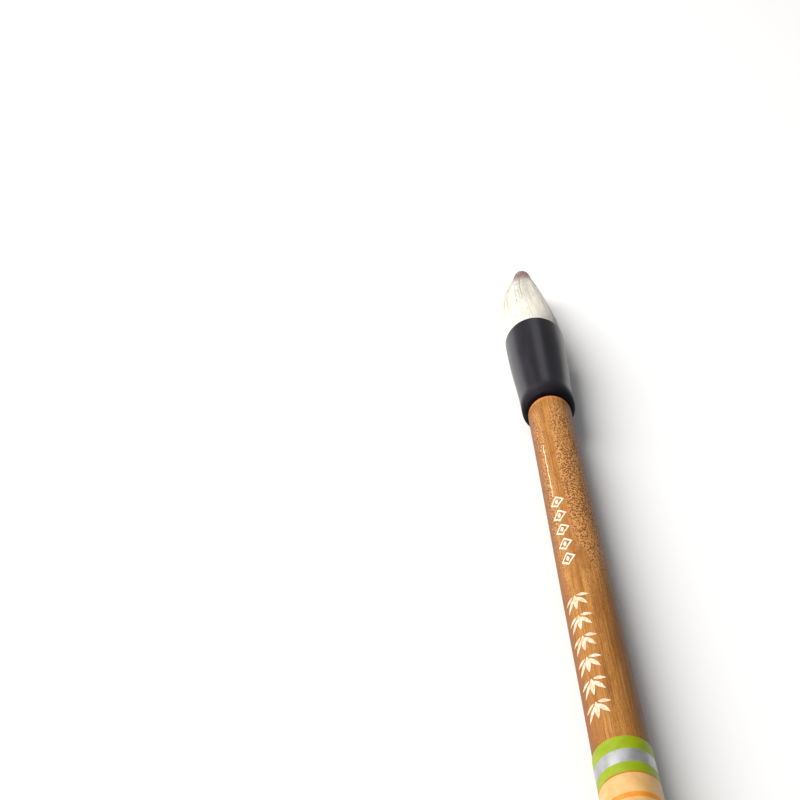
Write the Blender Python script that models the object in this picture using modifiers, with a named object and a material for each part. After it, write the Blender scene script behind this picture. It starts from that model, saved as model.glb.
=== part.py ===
"""Calligraphy brush: bamboo handle, flared black ferrule, white hair tuft with a darker core, a wrapped
label and a tail cap with a hang hole. It lies on its side: +Y runs along the axis to the tuft's tip, +Z is up,
and the origin is under the middle of its length, on the surface it lies on.

Stations along the axis are in millimetres from the joint of handle and ferrule (0), positive towards the tip.
Radii are in millimetres too. MM turns both into metres."""

import math

import bpy
from mathutils import Matrix, Vector

MM = 0.001
STEPS = 32  # facets round the axis; a flat one faces straight down
GAP = 0.3  # clearance left where two pieces touch on the real object

# Handle: a straight length of thin bamboo, hollow, lacquered
HANDLE_R = 4.25
HANDLE_LENGTH = 190.0
HANDLE_BORE_R = 2.0
HANDLE_CHAMFER = (0.17, 0.6)  # radial, axial
DOWEL_R = 2.0
DOWEL_IN_HANDLE = 14.0
DOWEL_IN_FERRULE = 6.5

# Ferrule: turned head that holds the hair
FERRULE_LENGTH = 28.3
FERRULE_MOUTH_R = 6.27
FERRULE_BACK_R = 5.28
FERRULE_SHOULDER = 0.95
FERRULE_LIP = 0.28
CUP_MOUTH_R = 5.55
CUP_BOTTOM_R = 5.2
CUP_DEPTH = 15.0

# Tuft
TIP = 61.0
COVER_END = 57.8  # the white hairs stop here, the core runs on to the tip
ROOT_END = 14.6
BEND_1, BALL_1 = 34.0, 6.9  # station of the first bend and radius of its ball
BEND_2, BALL_2 = 46.0, 4.9

# Label: printed film wrapped round the handle
LABEL_FRONT, LABEL_BACK = -91.8, -131.8
LABEL_R_IN, LABEL_R_OUT = 4.29, 4.41

# Tail cap
CAP_R = 4.7
CAP_LENGTH = 9.0
CAP_FACE_R = 3.7
SPIGOT_R = 2.4
SPIGOT_LENGTH = 10.0
HANG_HOLE_R = 1.2
HANG_HOLE_FROM_END = 4.4

TAIL = -HANDLE_LENGTH - CAP_LENGTH
MIDDLE = (TIP + TAIL) / 2
AXIS_HEIGHT = FERRULE_MOUTH_R * math.cos(math.pi / STEPS)

for thing in list(bpy.data.objects):
    bpy.data.objects.remove(thing, do_unlink=True)
for group in list(bpy.data.collections):
    bpy.data.collections.remove(group)

scene = bpy.context.scene
brush = bpy.data.collections.new("calligraphy_brush")
cutters = bpy.data.collections.new("cutters")
scene.collection.children.link(brush)
scene.collection.children.link(cutters)


def place(station):
    """A point on the brush's axis, in metres."""
    return Vector((0.0, (station - MIDDLE) * MM, AXIS_HEIGHT * MM))


def material(name, colour, roughness, metallic=0.0):
    made = bpy.data.materials.new(name)
    made.use_nodes = True
    shader = made.node_tree.nodes["Principled BSDF"]
    shader.inputs["Base Color"].default_value = (*colour, 1.0)
    shader.inputs["Roughness"].default_value = roughness
    shader.inputs["Metallic"].default_value = metallic
    return made


BAMBOO = material("lacquered_bamboo", (0.50, 0.24, 0.08), 0.32)
BLACK = material("black_horn_plastic", (0.028, 0.027, 0.032), 0.38)
WHITE_HAIR = material("white_goat_hair", (0.86, 0.82, 0.72), 0.75)
DARK_HAIR = material("brown_core_hair", (0.16, 0.07, 0.05), 0.7)
FILM = material("printed_film", (0.90, 0.68, 0.32), 0.35)
DOWEL_WOOD = material("dowel_wood", (0.60, 0.42, 0.22), 0.7)
RESIN = material("root_resin", (0.35, 0.18, 0.04), 0.3)
THREAD = material("hemp_thread", (0.62, 0.50, 0.33), 0.9)


def curve_through(points):
    """A smooth monotone curve (Fritsch-Carlson) through (station, radius) points, as a function."""
    xs = [p[0] for p in points]
    ys = [p[1] for p in points]
    n = len(xs)
    slopes = [(ys[k + 1] - ys[k]) / (xs[k + 1] - xs[k]) for k in range(n - 1)]
    m = [slopes[0]]
    for k in range(1, n - 1):
        a, b = slopes[k - 1], slopes[k]
        m.append(0.0 if a * b <= 0 else 2 * a * b / (a + b))
    m.append(slopes[-1])

    def value(x):
        x = min(max(x, xs[0]), xs[-1])
        k = max(i for i in range(n - 1) if xs[i] <= x)
        h = xs[k + 1] - xs[k]
        t = (x - xs[k]) / h
        return (
            (2 * t**3 - 3 * t**2 + 1) * ys[k]
            + (t**3 - 2 * t**2 + t) * h * m[k]
            + (-2 * t**3 + 3 * t**2) * ys[k + 1]
            + (t**3 - t**2) * h * m[k + 1]
        )

    return value


def turned(name, profile, closed, made_of, origin, parent=None):
    """A turned piece. profile lists (radius, station) down the outer side from the tip end to the tail end and,
    if closed, back up the bore. origin is the station of the object's own origin."""
    mesh = bpy.data.meshes.new(name)
    points = [(r * MM, 0.0, (s - origin) * MM) for r, s in profile]
    edges = [(k, k + 1) for k in range(len(points) - 1)]
    if closed:
        edges.append((len(points) - 1, 0))
    mesh.from_pydata(points, edges, [])
    piece = bpy.data.objects.new(name, mesh)
    brush.objects.link(piece)
    mesh.materials.append(made_of)
    screw = piece.modifiers.new("turn", "SCREW")
    screw.steps = STEPS
    screw.render_steps = STEPS
    screw.use_merge_vertices = True
    screw.merge_threshold = 0.00001
    screw.use_smooth_shade = True
    # local Z lies along the brush, and half a facet's turn puts a flat facet underneath
    turn = Matrix.Rotation(-math.pi / 2, 4, "X") @ Matrix.Rotation(
        math.pi / STEPS, 4, "Z"
    )
    where = Matrix.Translation(place(origin)) @ turn
    if parent is not None:
        piece.parent = parent
        piece.matrix_parent_inverse = parent.matrix_world.inverted()
    piece.matrix_world = where
    return piece


def spread(start, end, count):
    return [start + (end - start) * k / (count - 1) for k in range(count)]


# ---------------------------------------------------------------- ferrule
FERRULE_OUTSIDE = curve_through(
    [
        (FERRULE_SHOULDER, FERRULE_BACK_R),
        (5.0, FERRULE_BACK_R + 0.04),
        (9.5, 5.50),
        (15.0, 5.80),
        (20.0, 6.06),
        (24.5, 6.21),
        (FERRULE_LENGTH - FERRULE_LIP, FERRULE_MOUTH_R),
    ]
)


def corner(radius, station, size, start, end, count=4):
    """Points round a quarter circle whose centre is (radius, station)."""
    return [
        (
            radius + size * math.cos(math.radians(a)),
            station + size * math.sin(math.radians(a)),
        )
        for a in spread(start, end, count)
    ]


cup_bottom = FERRULE_LENGTH - CUP_DEPTH
socket_r = DOWEL_R + GAP
socket_end = DOWEL_IN_FERRULE + GAP
outside = [
    (FERRULE_OUTSIDE(s), s)
    for s in spread(FERRULE_LENGTH - FERRULE_LIP, FERRULE_SHOULDER, 12)
]
ferrule_profile = (
    [(0.0, cup_bottom)]
    + [(CUP_BOTTOM_R - 0.8, cup_bottom), (CUP_BOTTOM_R, cup_bottom + 0.8)]
    + [(CUP_MOUTH_R, FERRULE_LENGTH - 0.5)]
    + [(CUP_MOUTH_R + 0.2, FERRULE_LENGTH)]
    + corner(
        FERRULE_MOUTH_R - FERRULE_LIP, FERRULE_LENGTH - FERRULE_LIP, FERRULE_LIP, 90, 30, 3
    )
    + outside
    + corner(FERRULE_BACK_R - FERRULE_SHOULDER, FERRULE_SHOULDER, FERRULE_SHOULDER, -25, -90, 4)
    + [(socket_r + 0.3, 0.0), (socket_r, 0.3), (socket_r, socket_end), (0.0, socket_end)]
)
ferrule = turned("ferrule", ferrule_profile, False, BLACK, 0.0)

# ---------------------------------------------------------------- handle
dr, ds = HANDLE_CHAMFER
joint_gap = 0.1  # the thin dark line where the handle meets the ferrule
front_bore_r = DOWEL_R + GAP
rear_bore_r = SPIGOT_R + GAP
handle_profile = [
    (front_bore_r, -joint_gap),
    (HANDLE_R - dr, -joint_gap),
    (HANDLE_R - 0.3 * dr, -joint_gap - 0.45 * ds),
    (HANDLE_R, -joint_gap - ds),
    *[(HANDLE_R, s) for s in spread(-20.0, -170.0, 7)],
    (HANDLE_R, -HANDLE_LENGTH + 0.6),
    (HANDLE_R - 0.25, -HANDLE_LENGTH + joint_gap),
    (rear_bore_r, -HANDLE_LENGTH + joint_gap),
    (rear_bore_r, -HANDLE_LENGTH + SPIGOT_LENGTH + 1.0),
    (HANDLE_BORE_R, -HANDLE_LENGTH + SPIGOT_LENGTH + 2.0),
    *[(HANDLE_BORE_R, s) for s in spread(-170.0, -20.0, 7)],
    (HANDLE_BORE_R, -DOWEL_IN_HANDLE - 2.0),
    (front_bore_r, -DOWEL_IN_HANDLE - 1.0),
]
bamboo_handle = turned("bamboo_handle", handle_profile, True, BAMBOO, 0.0)

# ---------------------------------------------------------------- joining dowel
dowel_profile = [
    (0.0, DOWEL_IN_FERRULE),
    (DOWEL_R - 0.4, DOWEL_IN_FERRULE),
    (DOWEL_R, DOWEL_IN_FERRULE - 0.6),
    (DOWEL_R, -DOWEL_IN_HANDLE + 0.6),
    (DOWEL_R - 0.4, -DOWEL_IN_HANDLE),
    (0.0, -DOWEL_IN_HANDLE),
]
joining_dowel = turned("joining_dowel", dowel_profile, False, DOWEL_WOOD, 0.0)

# ---------------------------------------------------------------- label
label_profile = [
    (LABEL_R_IN, LABEL_FRONT),
    (LABEL_R_OUT, LABEL_FRONT),
    *[(LABEL_R_OUT, s) for s in spread(LABEL_FRONT - 10.0, LABEL_BACK + 10.0, 3)],
    (LABEL_R_OUT, LABEL_BACK),
    (LABEL_R_IN, LABEL_BACK),
    *[(LABEL_R_IN, s) for s in spread(LABEL_BACK + 10.0, LABEL_FRONT - 10.0, 3)],
]
label_wrap = turned("label_wrap", label_profile, True, FILM, LABEL_FRONT)

# ---------------------------------------------------------------- tail cap
front = -HANDLE_LENGTH
cap_profile = (
    [(0.0, front + SPIGOT_LENGTH)]
    + [(SPIGOT_R - 0.4, front + SPIGOT_LENGTH), (SPIGOT_R, front + SPIGOT_LENGTH - 0.6)]
    + [(SPIGOT_R, front)]
    + [(CAP_R - 0.5, front)]
    + corner(CAP_R - 0.5, front - 0.5, 0.5, 60, 0, 3)
    + [(CAP_R, front - 3.0), (CAP_R - 0.06, front - 5.5)]
    + [(CAP_R - 0.22, front - 7.2), (CAP_R - 0.45, TAIL + 0.8), (CAP_R - 0.7, TAIL + 0.25)]
    + [(CAP_FACE_R, TAIL), (0.0, TAIL)]
)
tail_cap = turned("tail_cap", cap_profile, False, BLACK, front)
bpy.ops.mesh.primitive_cylinder_add(
    vertices=16,
    radius=HANG_HOLE_R * MM,
    depth=2.6 * CAP_R * MM,
    location=place(TAIL + HANG_HOLE_FROM_END),
    rotation=(0.0, math.pi / 2, 0.0),
)
hang_drill = bpy.context.object
hang_drill.name = "hang_hole_drill"
for group in list(hang_drill.users_collection):
    group.objects.unlink(hang_drill)
cutters.objects.link(hang_drill)
hang_drill.hide_render = True
hang_drill.display_type = "WIRE"
drill = tail_cap.modifiers.new("hang_hole", "BOOLEAN")
drill.operation = "DIFFERENCE"
drill.solver = "EXACT"
drill.object = hang_drill

# ---------------------------------------------------------------- tuft
TUFT_OUTSIDE = curve_through(
    [
        (ROOT_END, 4.75),
        (16.0, 4.85),
        (FERRULE_LENGTH - 0.6, CUP_MOUTH_R - GAP),
        (29.6, 5.62),
        (31.5, 5.88),
        (33.5, 5.95),
        (36.0, 5.82),
        (38.0, 5.62),
        (41.0, 5.27),
        (44.0, 4.87),
        (47.0, 4.38),
        (50.0, 3.80),
        (53.0, 3.10),
        (56.0, 2.42),
        (57.8, 2.10),
    ]
)
CORE_OUTSIDE = curve_through(
    [
        (ROOT_END, 2.6),
        (FERRULE_LENGTH, 3.3),
        (34.0, 3.7),
        (40.0, 3.45),
        (46.0, 2.80),
        (52.0, 1.95),
        (56.0, 1.50),
        (COVER_END + 0.3, 1.36),
        (59.5, 1.14),
        (60.4, 0.76),
        (TIP, 0.0),
    ]
)


def cover_inside(station):
    return CORE_OUTSIDE(station) + GAP


def meets(outline, centre, radius):
    """The station beyond centre at which an outline crosses the ball of that radius about the axis point centre."""
    low, high = centre, centre + radius
    for _ in range(60):
        half = (low + high) / 2
        if math.hypot(outline(half), half - centre) < radius:
            low = half
        else:
            high = half
    return low


def cap_arc(centre, radius, inner, outer, count):
    """Points along the ball from the outline inner to the outline outer. inner None means from the axis."""
    a = 0.0
    if inner is not None:
        s = meets(inner, centre, radius)
        a = math.atan2(inner(s), s - centre)
    s = meets(outer, centre, radius)
    b = math.atan2(outer(s), s - centre)
    return [
        (radius * math.sin(t), centre + radius * math.cos(t))
        for t in spread(a, b, count)
    ]


def section(name, outer, inner, back, front, points, made_of, origin, parent=None):
    """One length of a hair layer between two ends. An end is a station, for a flat end, or (centre, ball radius)
    for an end that follows the ball of a bend."""

    def start(outline, end):
        return end if not isinstance(end, tuple) else meets(outline, *end)

    hollow = inner is not None
    profile = []
    if isinstance(front, tuple):
        profile += cap_arc(*front, inner, outer, 7 if not hollow else 5)
    else:
        profile += [(inner(front) if hollow else 0.0, front), (outer(front), front)]
        if outer(front) < 1e-6:
            profile.pop()
    profile += [
        (outer(s), s)
        for s in spread(start(outer, front), start(outer, back), points)[1:-1]
    ]
    if isinstance(back, tuple):
        profile += cap_arc(*back, inner, outer, 7 if not hollow else 5)[::-1]
    else:
        profile += [(outer(back), back), (inner(back) if hollow else 0.0, back)]
    if hollow:
        profile += [
            (inner(s), s)
            for s in spread(start(inner, back), start(inner, front), points)[1:-1]
        ]
    return turned(name, profile, hollow, made_of, origin, parent)


def bend_empty(name, station):
    empty = bpy.data.objects.new(name, None)
    empty.empty_display_size = 0.008
    empty.location = place(station)
    brush.objects.link(empty)
    return empty


middle_pivot = bend_empty("tuft_bend_pivot", BEND_1)
tip_pivot = bend_empty("tip_bend_pivot", BEND_2)
bpy.context.view_layer.update()
tip_pivot.parent = middle_pivot
tip_pivot.matrix_parent_inverse = middle_pivot.matrix_world.inverted()
bpy.context.view_layer.update()

thread_seat = (15.8, 18.6)  # the thread lies in a waist of the hair's root


def cover_root_outside(station):
    waist = 0.34 if thread_seat[0] - 0.3 < station < thread_seat[1] + 0.3 else 0.0
    return TUFT_OUTSIDE(station) - waist


section(
    "core_hair_root", CORE_OUTSIDE, None, ROOT_END, (BEND_1, BALL_1), 8, DARK_HAIR, 0.0
)
# the root of the cover has a waist for the thread, so its outside is listed in two runs
ball = (BEND_1, BALL_1)
waist_in, waist_out = thread_seat[0] - 0.3, thread_seat[1] + 0.3
root_profile = (
    cap_arc(*ball, cover_inside, TUFT_OUTSIDE, 5)
    + [
        (TUFT_OUTSIDE(s), s)
        for s in spread(meets(TUFT_OUTSIDE, *ball), waist_out, 13)[1:]
    ]
    + [(TUFT_OUTSIDE(s) - 0.62, s) for s in (waist_out, waist_in)]
    + [(TUFT_OUTSIDE(s), s) for s in (waist_in, ROOT_END)]
    + [(cover_inside(s), s) for s in spread(ROOT_END, meets(cover_inside, *ball), 8)[:-1]]
)
turned("cover_hair_root", root_profile, True, WHITE_HAIR, 0.0)

back_1 = (BEND_1, BALL_1 + GAP)
back_2 = (BEND_2, BALL_2 + GAP)
front_2 = (BEND_2, BALL_2)
section(
    "core_hair_middle", CORE_OUTSIDE, None, back_1, front_2, 6, DARK_HAIR, BEND_1, middle_pivot
)
section(
    "cover_hair_middle",
    TUFT_OUTSIDE,
    cover_inside,
    back_1,
    front_2,
    7,
    WHITE_HAIR,
    BEND_1,
    middle_pivot,
)
section("core_hair_tip", CORE_OUTSIDE, None, back_2, TIP, 12, DARK_HAIR, BEND_2, tip_pivot)
section(
    "cover_hair_tip",
    TUFT_OUTSIDE,
    cover_inside,
    back_2,
    COVER_END,
    8,
    WHITE_HAIR,
    BEND_2,
    tip_pivot,
)

# ---------------------------------------------------------------- binding thread: four turns, wound side by side
turns = 4
pitch = (thread_seat[1] - thread_seat[0]) / turns
thread_in = TUFT_OUTSIDE((thread_seat[0] + thread_seat[1]) / 2) - 0.62 + 0.24
wound = []
for k in range(turns):
    middle = thread_seat[1] - pitch * (k + 0.5)
    wound += [
        (thread_in + 0.22 + 0.16 * math.cos(math.radians(a)), middle + 0.5 * pitch * math.sin(math.radians(a)))
        for a in (60, 20, -20, -60)
    ]
thread_profile = wound + [(thread_in, thread_seat[0]), (thread_in, thread_seat[1])]
turned("binding_thread", thread_profile, True, THREAD, 0.0)

# ---------------------------------------------------------------- resin that seals the root into the cup
resin_top = ROOT_END - GAP
resin_profile = [
    (0.0, resin_top),
    (CUP_BOTTOM_R - GAP - 0.1, resin_top),
    (CUP_BOTTOM_R - GAP - 0.25, cup_bottom + 0.95),
    (CUP_BOTTOM_R - GAP - 0.7, cup_bottom + GAP),
    (0.0, cup_bottom + GAP),
]
turned("root_resin", resin_profile, False, RESIN, 0.0)
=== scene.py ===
import math

import bpy
import numpy as np
from mathutils import Matrix, Vector

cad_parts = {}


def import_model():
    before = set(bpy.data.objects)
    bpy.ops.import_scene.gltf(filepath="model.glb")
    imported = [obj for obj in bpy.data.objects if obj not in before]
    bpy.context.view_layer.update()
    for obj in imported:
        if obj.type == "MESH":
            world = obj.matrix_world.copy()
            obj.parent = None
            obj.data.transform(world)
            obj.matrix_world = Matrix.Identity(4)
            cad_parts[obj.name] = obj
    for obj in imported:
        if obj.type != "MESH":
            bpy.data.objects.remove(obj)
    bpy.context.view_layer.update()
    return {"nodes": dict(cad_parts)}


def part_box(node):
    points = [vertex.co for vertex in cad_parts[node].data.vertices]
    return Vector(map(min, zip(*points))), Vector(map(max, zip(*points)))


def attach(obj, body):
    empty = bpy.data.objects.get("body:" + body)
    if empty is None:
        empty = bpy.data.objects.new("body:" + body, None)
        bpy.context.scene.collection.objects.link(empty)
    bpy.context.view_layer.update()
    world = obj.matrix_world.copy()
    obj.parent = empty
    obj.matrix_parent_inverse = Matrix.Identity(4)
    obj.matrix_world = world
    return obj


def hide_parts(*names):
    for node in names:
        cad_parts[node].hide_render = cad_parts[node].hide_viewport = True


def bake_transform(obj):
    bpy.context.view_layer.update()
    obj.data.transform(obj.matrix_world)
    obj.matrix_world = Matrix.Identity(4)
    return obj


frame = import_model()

# ------------------------------------------------------------------ the frame
# Stations run along the axis in millimetres from the joint of handle and ferrule, positive towards the tip.
MM = 0.001
handle_lo, handle_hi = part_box("bamboo_handle")
ferrule_lo, ferrule_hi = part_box("ferrule")
JOINT_Y = ferrule_lo.y / MM  # the ferrule's back face is station 0
AXIS_Z = (handle_lo.z + handle_hi.z) / 2 / MM
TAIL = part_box("tail_cap")[0].y / MM - JOINT_Y
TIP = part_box("core_hair_tip")[1].y / MM - JOINT_Y
LABEL_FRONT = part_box("label_wrap")[1].y / MM - JOINT_Y
LABEL_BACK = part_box("label_wrap")[0].y / MM - JOINT_Y
HANDLE_LENGTH = 190.0
HANDLE_R = 4.25
FERRULE_LENGTH = 28.3
SPLIT = 40.0  # the tuft's two lengths meet here, between its two bends


def srgb(r, g, b):
    def one(v):
        v /= 255.0
        return v / 12.92 if v <= 0.04045 else ((v + 0.055) / 1.055) ** 2.4

    return (one(r), one(g), one(b), 1.0)


def curve_through(points):
    """A smooth monotone curve through (station, radius) points; works on numbers and arrays."""
    xs = np.array([p[0] for p in points], float)
    ys = np.array([p[1] for p in points], float)
    d = np.diff(ys) / np.diff(xs)
    m = np.zeros(len(xs))
    m[0], m[-1] = d[0], d[-1]
    for k in range(1, len(xs) - 1):
        a, b = d[k - 1], d[k]
        m[k] = 0.0 if a * b <= 0 else 2 * a * b / (a + b)

    def value(x):
        x = np.clip(np.asarray(x, float), xs[0], xs[-1])
        k = np.clip(np.searchsorted(xs, x, side="right") - 1, 0, len(xs) - 2)
        h = xs[k + 1] - xs[k]
        t = (x - xs[k]) / h
        return (
            (2 * t**3 - 3 * t**2 + 1) * ys[k]
            + (t**3 - 2 * t**2 + t) * h * m[k]
            + (-2 * t**3 + 3 * t**2) * ys[k + 1]
            + (t**3 - t**2) * h * m[k + 1]
        )

    return value


def smooth(a, b, x):
    t = np.clip((np.asarray(x, float) - a) / (b - a), 0, 1)
    return t * t * (3 - 2 * t)


def spread(a, b, n):
    return list(np.linspace(a, b, n))


# ------------------------------------------------------------------ materials
class Graph:
    def __init__(self, name, bends=False):
        self.material = bpy.data.materials.new(name)
        self.material.use_nodes = True
        self.tree = self.material.node_tree
        self.tree.nodes.clear()
        self.out = self.node("ShaderNodeOutputMaterial")
        self.shader = self.node("ShaderNodeBsdfPrincipled")
        self.join(self.shader.outputs[0], self.out.inputs["Surface"])
        if bends:  # a piece that bends reads its places at rest, so that its colours bend with it
            self.where = self.node("ShaderNodeAttribute", attribute_name="rest_place").outputs["Vector"]
        else:
            self.where = self.node("ShaderNodeTexCoord").outputs["Object"]

    def node(self, kind, **settings):
        made = self.tree.nodes.new(kind)
        for key, value in settings.items():
            setattr(made, key, value)
        return made

    def join(self, a, b):
        self.tree.links.new(a, b)

    def feed(self, value, socket):
        if isinstance(value, bpy.types.NodeSocket):
            self.join(value, socket)
        else:
            socket.default_value = value

    def set(self, **values):
        for key, value in values.items():
            self.feed(value, self.shader.inputs[key.replace("_", " ")])

    def scaled(self, x, y, z, source=None):
        """The position with each axis stretched, in units per millimetre."""
        made = self.node("ShaderNodeMapping")
        self.join(source or self.where, made.inputs["Vector"])
        made.inputs["Scale"].default_value = (x / MM, y / MM, z / MM)
        return made.outputs[0]

    def noise(self, x, y, z, detail=2.0, rough=0.5, distort=0.0):
        made = self.node("ShaderNodeTexNoise")
        self.join(self.scaled(x, y, z), made.inputs["Vector"])
        made.inputs["Scale"].default_value = 1.0
        made.inputs["Detail"].default_value = detail
        made.inputs["Roughness"].default_value = rough
        made.inputs["Distortion"].default_value = distort
        return made.outputs["Fac"]

    def cells(self, x, y, z):
        """The distance to the nearest of a scatter of points, in cells, with x, y and z cells per millimetre."""
        made = self.node("ShaderNodeTexVoronoi", feature="F1")
        self.join(self.scaled(x, y, z), made.inputs["Vector"])
        made.inputs["Scale"].default_value = 1.0
        return made.outputs["Distance"]

    def part(self, which):
        made = self.node("ShaderNodeSeparateXYZ")
        self.join(self.where, made.inputs[0])
        return made.outputs[which]

    def ramp(self, fac, *stops, interpolation="LINEAR"):
        made = self.node("ShaderNodeValToRGB")
        made.color_ramp.interpolation = interpolation
        elements = made.color_ramp.elements
        while len(elements) > 1:
            elements.remove(elements[0])
        elements[0].position, elements[0].color = stops[0]
        for at, colour in stops[1:]:
            elements.new(at).color = colour
        self.join(fac, made.inputs["Fac"])
        return made.outputs["Color"]

    def range(self, value, a, b, c=0.0, d=1.0, kind="SMOOTHSTEP"):
        made = self.node("ShaderNodeMapRange", interpolation_type=kind)
        self.feed(value, made.inputs[0])
        for k, v in enumerate((a, b, c, d)):
            self.feed(v, made.inputs[k + 1])
        return made.outputs[0]

    def math(self, operation, a, b=0.0):
        made = self.node("ShaderNodeMath", operation=operation)
        self.feed(a, made.inputs[0])
        self.feed(b, made.inputs[1])
        return made.outputs[0]

    def mix(self, fac, a, b, blend="MIX"):
        made = self.node("ShaderNodeMix", data_type="RGBA", blend_type=blend)
        self.feed(fac, made.inputs[0])
        self.feed(a, made.inputs[6])
        self.feed(b, made.inputs[7])
        return made.outputs[2]

    def bump(self, height, distance_mm, strength=1.0):
        made = self.node("ShaderNodeBump")
        made.inputs["Strength"].default_value = strength
        made.inputs["Distance"].default_value = distance_mm * MM
        self.join(height, made.inputs["Height"])
        self.join(made.outputs[0], self.shader.inputs["Normal"])
        return made


def metres(station):
    return (station + JOINT_Y) * MM


def bamboo():
    g = Graph("lacquered_bamboo")
    across = g.math("SUBTRACT", g.part(2), AXIS_Z * MM)
    turn = g.math("ARCTAN2", g.part(0), across)  # 0 on top, + towards +X
    place = g.part(1)
    fibre = g.noise(4.5, 0.05, 4.5, 4.0, 0.62)
    fine = g.noise(13.0, 0.45, 13.0, 3.0, 0.6)
    tone = g.noise(0.30, 0.040, 0.30, 3.0, 0.55, 0.4)
    wood = g.ramp(
        g.math("ADD", g.math("MULTIPLY", fibre, 0.55), g.math("MULTIPLY", fine, 0.45)),
        (0.33, srgb(114, 68, 26)),
        (0.46, srgb(155, 102, 45)),
        (0.56, srgb(183, 127, 60)),
        (0.72, srgb(208, 154, 81)),
    )
    wood = g.mix(g.range(tone, 0.44, 0.66, 0.0, 0.6), wood, srgb(150, 92, 40))
    cloud = g.noise(0.55, 0.16, 0.55, 3.0, 0.6, 0.3)
    wood = g.mix(g.range(cloud, 0.48, 0.70, 0.0, 0.40), wood, srgb(116, 68, 28))
    # the fine dark flecks, in two bands either side of a clear strip, thick over the front third
    round_it = g.ramp(
        g.range(turn, math.radians(-180), math.radians(180), kind="LINEAR"),
        (0.0, (0.3, 0.3, 0.3, 1)),
        (0.24, (0.80, 0.80, 0.80, 1)),
        (0.345, (0.95, 0.95, 0.95, 1)),
        (0.395, (0.55, 0.55, 0.55, 1)),
        (0.42, (0.20, 0.20, 0.20, 1)),
        (0.445, (0.60, 0.60, 0.60, 1)),
        (0.475, (0.95, 0.95, 0.95, 1)),
        (0.56, (1.0, 1.0, 1.0, 1)),
        (0.72, (0.9, 0.9, 0.9, 1)),
        (1.0, (0.3, 0.3, 0.3, 1)),
    )
    front = g.math(
        "MULTIPLY",
        g.range(place, metres(-66), metres(-40), 0.40, 1.0),
        g.range(place, metres(-0.8), metres(-6), 0.35, 1.0),
    )
    patch = g.noise(0.35, 0.14, 0.35, 3.0, 0.6)
    dense = g.math("MULTIPLY", g.math("MULTIPLY", front, round_it), g.range(patch, 0.30, 0.52, 0.62, 1.0))
    ragged = g.math("MULTIPLY", g.math("SUBTRACT", g.noise(6.0, 4.0, 6.0, 2.0, 0.6), 0.5), 0.45)
    spot = g.math("ADD", g.cells(3.1, 2.1, 3.1), ragged)
    reach = g.range(dense, 0.0, 1.0, 0.04, 0.60, kind="LINEAR")
    flecks = g.range(spot, reach, g.math("SUBTRACT", reach, 0.13))
    # between the flecks the wood is bleached
    wood = g.mix(g.range(dense, 0.30, 0.95, 0.0, 0.55), wood, srgb(222, 161, 96))
    # painted shade on both flanks: darker amber on the -X flank, brown on the +X flank
    amber_flank_shade = g.range(turn, math.radians(-44), math.radians(-88))
    wood = g.mix(g.math("MULTIPLY", amber_flank_shade, 0.86), wood, srgb(130, 73, 17))
    # painted shade: the +X flank is mixed towards brown
    brown = g.range(turn, math.radians(14), math.radians(72))
    wood = g.mix(g.math("MULTIPLY", brown, 0.78), wood, srgb(86, 53, 28))
    # painted shade: the +X side is darkened further towards the tail, behind the flecks
    tail_side_shade = g.math(
        "MULTIPLY",
        g.range(turn, math.radians(-25), math.radians(45)),
        g.range(place, metres(-48), metres(-64)),
    )
    wood = g.mix(g.math("MULTIPLY", tail_side_shade, 0.34), wood, srgb(112, 70, 32))
    wood = g.mix(g.math("MULTIPLY", flecks, 0.80), wood, srgb(88, 44, 16))
    pores = g.range(g.noise(8.0, 1.6, 8.0, 2.0, 0.5), 0.60, 0.69)
    wood = g.mix(g.math("MULTIPLY", pores, 0.50), wood, srgb(100, 58, 26))
    # the cut front rim is redder, and lighter with a painted highlight along it
    rim_colour_and_highlight = g.range(place, metres(-1.5), metres(-0.75))
    wood = g.mix(g.math("MULTIPLY", rim_colour_and_highlight, 0.70), wood, srgb(206, 126, 76))
    g.set(Base_Color=wood, Roughness=g.range(fibre, 0.3, 0.7, 0.42, 0.55, kind="LINEAR"))
    g.set(Coat_Weight=0.04, Coat_Roughness=0.22, Coat_IOR=1.5, Specular_IOR_Level=0.16)
    g.bump(
        g.math("ADD", g.math("MULTIPLY", fibre, 0.6), g.math("MULTIPLY", fine, 0.4)), 0.04, 0.6
    )
    return g.material


def black_plastic(name="black_horn_plastic", matte_from=None, shine=0.5):
    """matte_from: the stations between which the lathe-cut end turns matte."""
    g = Graph(name)
    streak = g.noise(0.45, 0.06, 0.45, 3.0, 0.55, 0.8)
    turned = g.noise(0.02, 7.0, 0.02, 2.0, 0.6)
    grain = g.noise(6.0, 5.0, 6.0, 2.0, 0.6)
    rough = g.range(
        g.math("ADD", g.math("MULTIPLY", grain, 0.6), g.math("MULTIPLY", streak, 0.4)),
        0.3,
        0.7,
        0.27,
        0.37,
        kind="LINEAR",
    )
    if matte_from:
        cut = g.range(g.part(1), metres(matte_from[0]), metres(matte_from[1]))
        rough = g.math("ADD", rough, g.math("MULTIPLY", cut, 0.40))
    g.set(
        Base_Color=g.ramp(
            streak,
            (0.35, srgb(13, 11, 16)),
            (0.55, srgb(19, 17, 22)),
            (0.72, srgb(30, 27, 33)),
        ),
        Roughness=rough,
        Specular_IOR_Level=shine,
        Specular_Tint=(0.90, 0.86, 1.0, 1.0),
    )
    g.bump(g.math("ADD", g.math("MULTIPLY", turned, 0.7), g.math("MULTIPLY", grain, 0.3)), 0.012, 0.5)
    return g.material


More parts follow.
